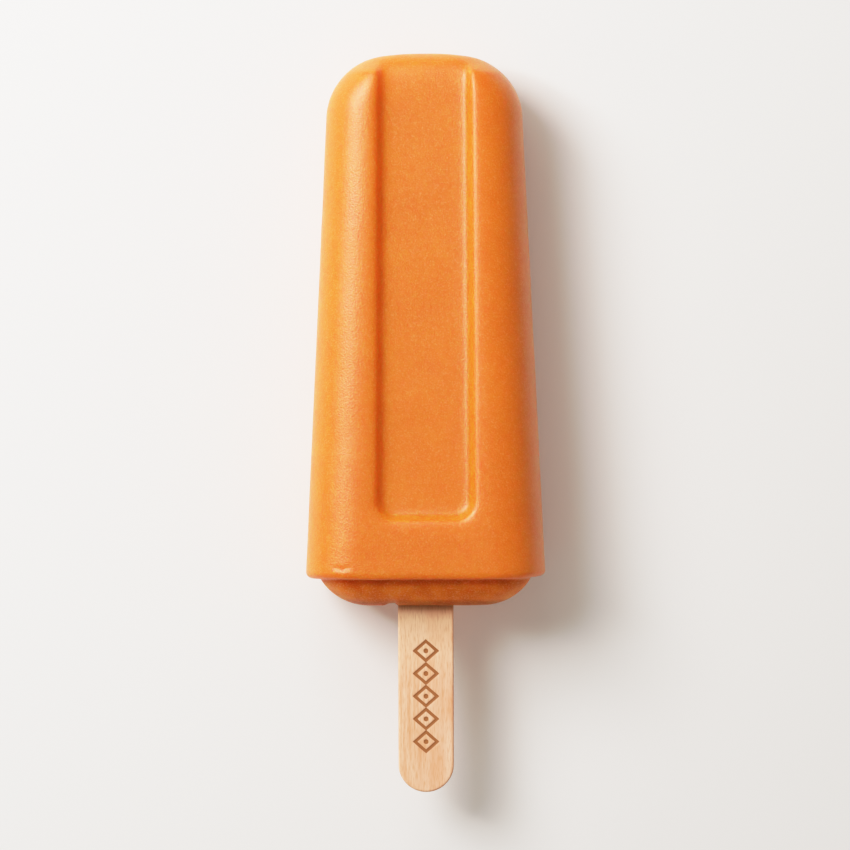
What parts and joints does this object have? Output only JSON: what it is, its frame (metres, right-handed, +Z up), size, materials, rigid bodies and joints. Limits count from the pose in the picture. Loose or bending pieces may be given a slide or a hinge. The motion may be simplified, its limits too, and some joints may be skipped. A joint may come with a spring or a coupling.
{
  "type": "ice pop",
  "caption": "Ice pop lying on its back: a tapered frozen fruit bar with a rounded top and a long shallow groove front and back, cast round a flat wooden stick.",
  "frame": {"origin": "on the surface that the pop lies on, under the middle of its bounding box", "axes": "+Y from the stick towards the rounded top, +Z up out of the grooved front face, +X to the right of someone who looks down on the front with the top away from them"},
  "size_m": [0.0432, 0.1334, 0.0249],
  "materials": {
    "fruit_ice": "frosted satin, finely grained, slightly translucent",
    "birch": "bare and dry, with a fine lengthwise grain"
  },
  "bodies": {
    "root": {"frozen_bar": "fruit_ice", "stick": "birch"}
  },
  "joints": []
}
